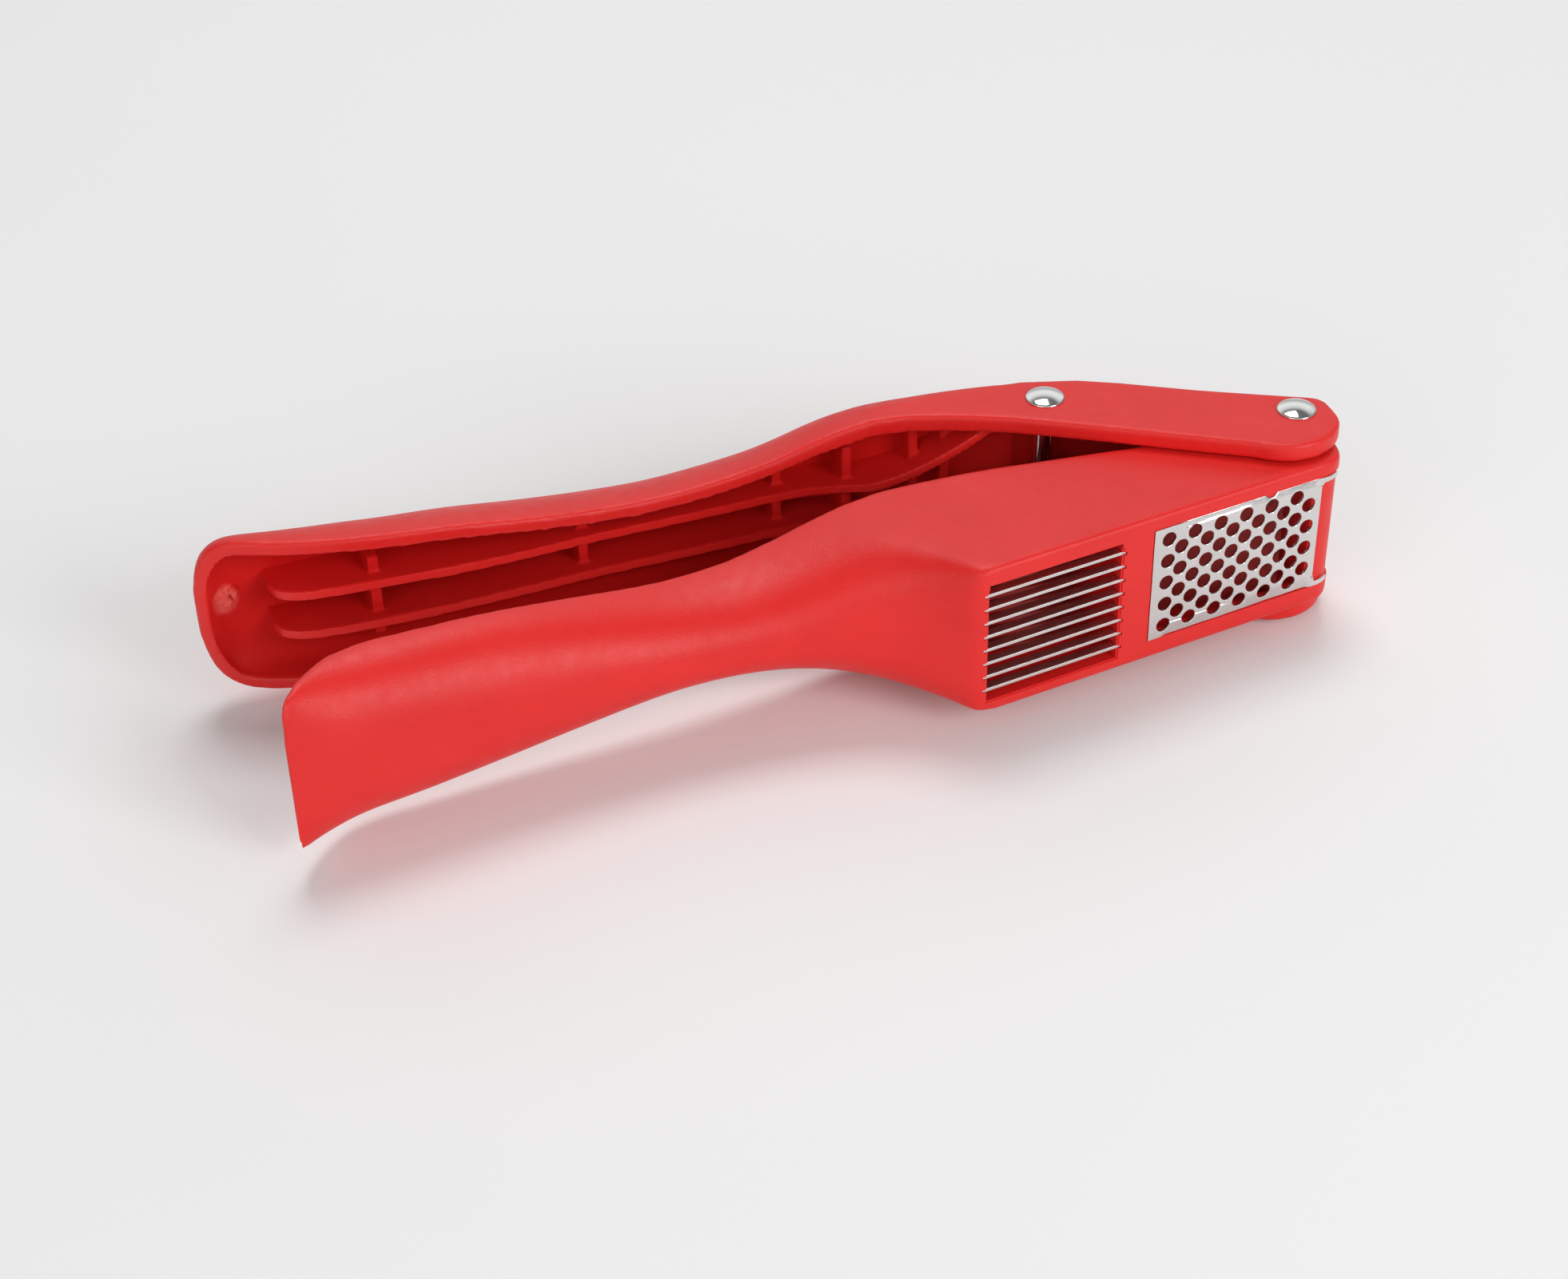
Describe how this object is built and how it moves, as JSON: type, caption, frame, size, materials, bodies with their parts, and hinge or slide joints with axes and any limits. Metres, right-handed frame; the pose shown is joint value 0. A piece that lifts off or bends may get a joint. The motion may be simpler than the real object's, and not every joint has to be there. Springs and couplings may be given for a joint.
{
  "type": "garlic press and slicer",
  "caption": "Two-in-one lever garlic press and slicer with a riveted plastic lever, a swinging double pusher, a perforated plate and slicing blades.",
  "frame": {"origin": "on the surface it lies on, under the middle of the whole press as shown, with the lever partly open", "axes": "+X along the chamber box from the handle tips towards the main rivet, +Y from the exit face through the chambers towards the lever, +Z along both rivets, up from the side it lies on"},
  "size_m": [0.192, 0.0763, 0.0396],
  "materials": {
    "red_plastic": "satin moulded plastic",
    "pusher_plastic": "satin moulded plastic",
    "plate_steel": "punched bright stainless sheet",
    "blade_steel": "ground stainless strip",
    "rivet_chrome": "polished nickel plate"
  },
  "bodies": {
    "press_body": {"lower_body": "red_plastic", "press_plate": "plate_steel", "slicer_blade_1": "blade_steel", "slicer_blade_2": "blade_steel", "slicer_blade_3": "blade_steel", "slicer_blade_4": "blade_steel", "slicer_blade_5": "blade_steel", "slicer_blade_6": "blade_steel", "slicer_blade_7": "blade_steel", "slicer_blade_8": "blade_steel"},
    "lever": {"upper_handle": "red_plastic", "pivot_pin": "rivet_chrome", "pivot_pin_cap": "rivet_chrome", "pusher_pin": "rivet_chrome", "pusher_pin_cap": "rivet_chrome"},
    "pusher_body": {"pusher": "pusher_plastic"}
  },
  "joints": [
    {"name": "handle_hinge", "type": "hinge", "parent": "press_body", "child": "lever", "pos_m": [0.08975, -0.0257, 0.0198], "axis": [0, 0, -1], "range_deg": [-9.4, 90]},
    {"name": "pusher_hinge", "type": "hinge", "parent": "lever", "child": "pusher_body", "pos_m": [0.0532, -0.00083, 0.0198], "axis": [0, 0, -1], "range_deg": [-1, 9.1]}
  ],
  "couplings": [
    {"joint": "pusher_hinge", "follows": "handle_hinge", "ratio": 0.1}
  ]
}
